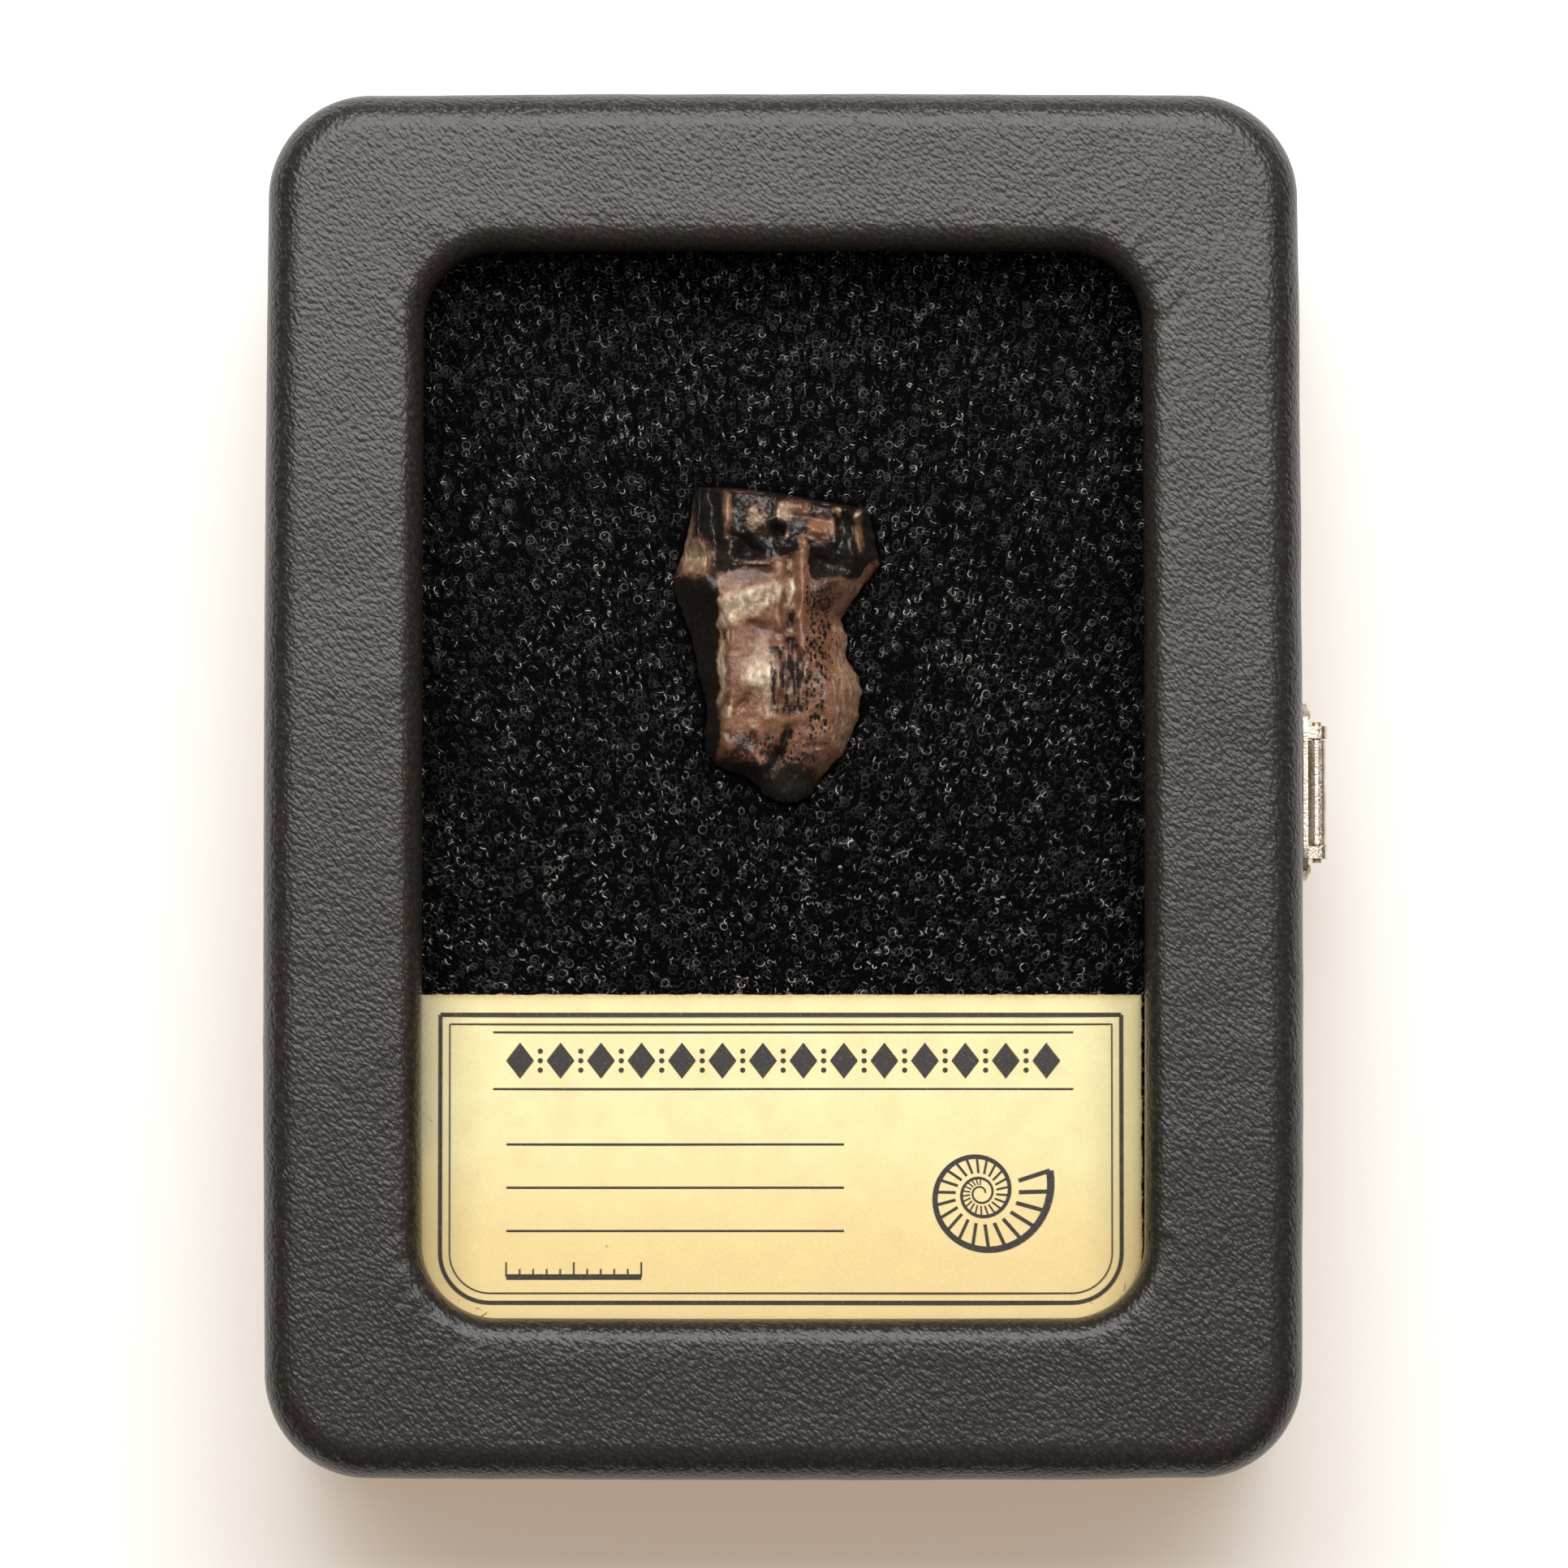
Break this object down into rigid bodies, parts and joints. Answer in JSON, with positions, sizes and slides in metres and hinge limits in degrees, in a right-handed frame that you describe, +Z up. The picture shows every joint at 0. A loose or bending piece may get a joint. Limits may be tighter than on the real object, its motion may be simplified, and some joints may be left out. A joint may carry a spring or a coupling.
{
  "type": "fossil triceratops tooth in display case",
  "caption": "Fossil dinosaur tooth lying in black foam in a small leatherette display case with a hinged window lid, a snap latch and a cream card.",
  "frame": {"origin": "middle of the case's flat underside", "axes": "+X towards the latch side, +Y along the case away from the label card, +Z up through the window"},
  "size_m": [0.0795, 0.1018, 0.028],
  "materials": {
    "leatherette": "pebbled grain, satin, padded",
    "black_foam": "open-cell foam with small glossy cell struts",
    "fossil": "red-brown fossil enamel, polished in places and pitted in others",
    "cream_card": "aged cream card with dark ink lines",
    "window_glass": "clear",
    "black_liner": "matt black",
    "nickel_plate": "worn nickel plate"
  },
  "bodies": {
    "base": {"tray": "leatherette", "foam_pad": "black_foam", "triceratops_tooth": "fossil", "label_card": "cream_card", "hinge_leaf_tray": "nickel_plate", "hinge_pin": "nickel_plate", "hinge_tack_tray_1": "nickel_plate", "hinge_tack_tray_2": "nickel_plate", "catch_plate": "nickel_plate", "catch_nail_1": "nickel_plate", "catch_nail_2": "nickel_plate"},
    "lid": {"lid_frame": "leatherette", "window_pane": "window_glass", "lid_liner": "black_liner", "hinge_leaf_lid": "nickel_plate", "hinge_tack_lid_1": "nickel_plate", "hinge_tack_lid_2": "nickel_plate", "latch_plate": "nickel_plate", "latch_pin": "nickel_plate", "latch_nail_1": "nickel_plate", "latch_nail_2": "nickel_plate"},
    "latch": {"latch_flap": "nickel_plate"}
  },
  "joints": [
    {"name": "lid_hinge", "type": "hinge", "parent": "base", "child": "lid", "pos_m": [-0.0378, 0, 0.017], "axis": [0, -1, 0], "range_deg": [0, 105]},
    {"name": "latch_hinge", "type": "hinge", "parent": "lid", "child": "latch", "pos_m": [0.0395, -0.0004, 0.0202], "axis": [0, -1, 0], "range_deg": [0, 110]}
  ]
}
